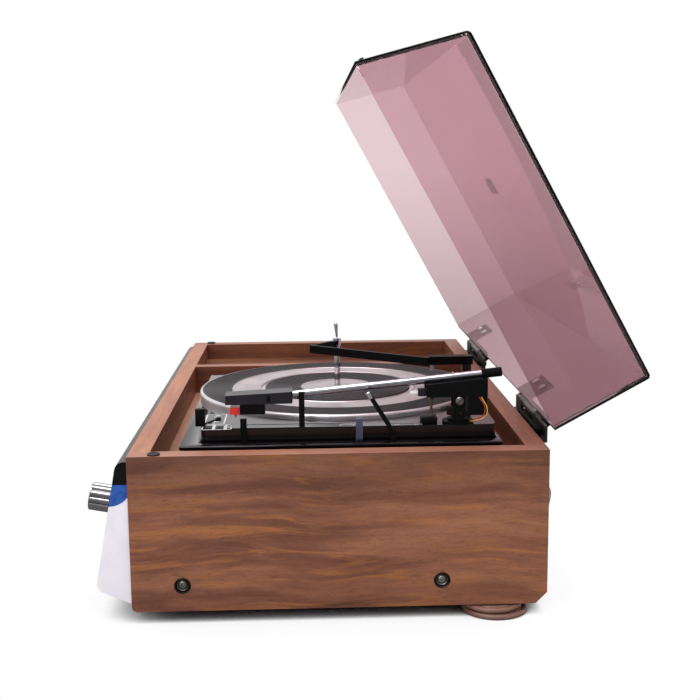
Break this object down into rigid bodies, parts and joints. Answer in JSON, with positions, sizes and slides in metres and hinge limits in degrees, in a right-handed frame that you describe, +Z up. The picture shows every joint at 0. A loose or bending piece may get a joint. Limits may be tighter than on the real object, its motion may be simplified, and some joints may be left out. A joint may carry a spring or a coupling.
{
  "type": "stereo system with record changer",
  "caption": "Wood-cased compact stereo with a sloping receiver front, an automatic record changer in its top, an open side tray and a tinted dust cover held open on hinges.",
  "frame": {"origin": "on the floor, under the middle of the cabinet", "axes": "+Z up; the front panel faces -Y and its right-hand end is +X"},
  "size_m": [0.631, 0.4869, 0.4956],
  "materials": {
    "walnut": "satin walnut veneer",
    "particle_board": "bare board",
    "black_steel": "semi-gloss black enamel",
    "bright_steel": "polished",
    "zinc_steel": "zinc plated",
    "bearing_brass": "turned",
    "spun_aluminium": "concentric brushed",
    "face_aluminium": "bright satin",
    "mat_rubber": "ribbed matt black",
    "pad_rubber": "matt black",
    "black_plastic": "moulded black",
    "matte_black": "matt moulded black",
    "red_plastic": "moulded red",
    "grey_plastic": "moulded blue-grey",
    "tinted_acrylic": "rose-smoke tint, clear gloss",
    "blue_acrylic": "blue tint, clear gloss",
    "motor_steel": "grey enamel",
    "hardboard": "perforated hardboard",
    "circuit": "phenolic board",
    "core_steel": "laminated",
    "brown_cord": "brown vinyl"
  },
  "bodies": {
    "cabinet": {"side_panel_right": "walnut", "side_panel_left": "walnut", "end_rails": "walnut", "tray_divider": "walnut", "tray_floor": "walnut", "motor_board": "particle_board", "base_board": "particle_board", "back_panel": "hardboard", "rubber_pads": "pad_rubber", "side_screws": "zinc_steel", "hinge_bases": "bright_steel", "hinge_fasteners": "bright_steel", "deck_plate": "black_steel", "deck_mounts": "pad_rubber", "escutcheon": "black_plastic", "bearing_sleeve": "bearing_brass", "record_spindle": "bright_steel", "motor": "motor_steel", "arm_base": "matte_black", "arm_rest": "black_plastic", "dial_visor": "matte_black", "dial_lens": "blue_acrylic", "fascia": "face_aluminium", "receiver_chassis": "zinc_steel", "circuit_board": "circuit", "power_transformer": "core_steel", "rear_sockets": "matte_black", "cord_gland": "matte_black", "cord_lead": "brown_cord", "cord_coil": "brown_cord", "cord_tail": "brown_cord", "power_plug": "brown_cord"},
    "cover": {"dust_cover": "tinted_acrylic", "lid_badge": "matte_black", "hinge_clips": "bright_steel"},
    "turntable": {"platter": "spun_aluminium", "platter_mats": "mat_rubber", "platter_trim": "spun_aluminium"},
    "idler": {"idler_wheel": "pad_rubber"},
    "pulley": {"motor_pulley": "bearing_brass"},
    "overarm_post": {"overarm_shaft": "bright_steel"},
    "overarm": {"overarm_hook": "black_plastic"},
    "arm_swivel": {"arm_yoke": "black_steel"},
    "tonearm": {"arm_housing": "matte_black", "arm_tube": "bright_steel", "headshell": "matte_black", "cartridge": "matte_black", "pivot_screws": "zinc_steel"},
    "stylus": {"stylus_tab": "red_plastic"},
    "start_lever": {"start_lever": "black_plastic"},
    "speed_lever": {"speed_lever": "matte_black"},
    "size_lever": {"size_lever": "grey_plastic"},
    "cue_lever": {"cue_lever": "black_plastic"},
    "tuning_knob": {"tuning_knob": "bright_steel"},
    "dial_pointer": {"dial_pointer": "red_plastic"},
    "volume_knob": {"volume_knob": "bright_steel"},
    "bass_knob": {"bass_knob": "bright_steel"},
    "treble_knob": {"treble_knob": "bright_steel"},
    "power_button": {"power_button": "matte_black"},
    "selector_button": {"selector_button": "matte_black"}
  },
  "joints": [
    {"name": "lid_hinge", "type": "hinge", "parent": "cabinet", "child": "cover", "pos_m": [0, 0.1932, 0.1527], "axis": [1, 0, 0], "range_deg": [0, 61.3]},
    {"name": "platter_spin", "type": "hinge", "parent": "cabinet", "child": "turntable", "pos_m": [0.098, 0.0045, 0.1605], "axis": [0, 0, 1], "continuous": true},
    {"name": "idler_spin", "type": "hinge", "parent": "cabinet", "child": "idler", "pos_m": [-0.00194, 0.0622, 0.157], "axis": [0, 0, 1], "continuous": true},
    {"name": "pulley_spin", "type": "hinge", "parent": "cabinet", "child": "pulley", "pos_m": [0.01111, 0.0396, 0.157], "axis": [0, 0, 1], "continuous": true},
    {"name": "overarm_lift", "type": "slide", "parent": "cabinet", "child": "overarm_post", "axis": [0, 0, 1], "range_m": [0, 0.008]},
    {"name": "overarm_swing", "type": "hinge", "parent": "overarm_post", "child": "overarm", "pos_m": [0.182, 0.126, 0.2055], "axis": [0, 0, 1], "range_deg": [0, 42]},
    {"name": "tonearm_swing", "type": "hinge", "parent": "cabinet", "child": "arm_swivel", "pos_m": [0.255, 0.108, 0.165], "axis": [0, 0, 1], "range_deg": [-39, 0]},
    {"name": "tonearm_lift", "type": "hinge", "parent": "arm_swivel", "child": "tonearm", "pos_m": [0.255, 0.108, 0.183], "axis": [-1, 0, 0], "range_deg": [0, 8]},
    {"name": "stylus_turn", "type": "hinge", "parent": "tonearm", "child": "stylus", "pos_m": [0.255, -0.0863, 0.1757], "axis": [0, 1, 0], "range_deg": [0, 180]},
    {"name": "start_lever", "type": "hinge", "parent": "cabinet", "child": "start_lever", "pos_m": [0.228, -0.108, 0.1628], "axis": [0, 0, 1], "range_deg": [-12, 12]},
    {"name": "speed_lever", "type": "slide", "parent": "cabinet", "child": "speed_lever", "axis": [0, 1, 0], "range_m": [-0.007, 0.007]},
    {"name": "size_lever", "type": "slide", "parent": "cabinet", "child": "size_lever", "axis": [0, 1, 0], "range_m": [-0.007, 0.007]},
    {"name": "cue_lever", "type": "hinge", "parent": "cabinet", "child": "cue_lever", "pos_m": [0.2675, 0.049, 0.1525], "axis": [-1, 0, 0], "range_deg": [0, 25]},
    {"name": "tuning_knob", "type": "hinge", "parent": "cabinet", "child": "tuning_knob", "pos_m": [0.268, -0.19739, 0.1004], "axis": [0, -0.9829, 0.184], "range_deg": [-540, 540]},
    {"name": "dial_pointer", "type": "slide", "parent": "cabinet", "child": "dial_pointer", "axis": [1, 0, 0], "range_m": [-0.12, 0.12]},
    {"name": "volume_knob", "type": "hinge", "parent": "cabinet", "child": "volume_knob", "pos_m": [0.06, -0.20514, 0.059], "axis": [0, -0.9829, 0.184], "range_deg": [-150, 150]},
    {"name": "bass_knob", "type": "hinge", "parent": "cabinet", "child": "bass_knob", "pos_m": [0.104, -0.20514, 0.059], "axis": [0, -0.9829, 0.184], "range_deg": [-150, 150]},
    {"name": "treble_knob", "type": "hinge", "parent": "cabinet", "child": "treble_knob", "pos_m": [0.148, -0.20514, 0.059], "axis": [0, -0.9829, 0.184], "range_deg": [-150, 150]},
    {"name": "power_button", "type": "slide", "parent": "cabinet", "child": "power_button", "axis": [0, 0.9829, -0.184], "range_m": [0, 0.004], "stiffness_N_per_m": 200, "springref_m": -0.004},
    {"name": "selector_button", "type": "slide", "parent": "cabinet", "child": "selector_button", "axis": [0, 0.9829, -0.184], "range_m": [0, 0.004], "stiffness_N_per_m": 200, "springref_m": -0.004}
  ],
  "couplings": [
    {"joint": "idler_spin", "follows": "platter_spin", "ratio": 6.25},
    {"joint": "pulley_spin", "follows": "platter_spin", "ratio": -34.375},
    {"joint": "cue_lever", "follows": "tonearm_lift", "ratio": 3.125},
    {"joint": "dial_pointer", "follows": "tuning_knob", "m_per_rad": -0.0127}
  ]
}
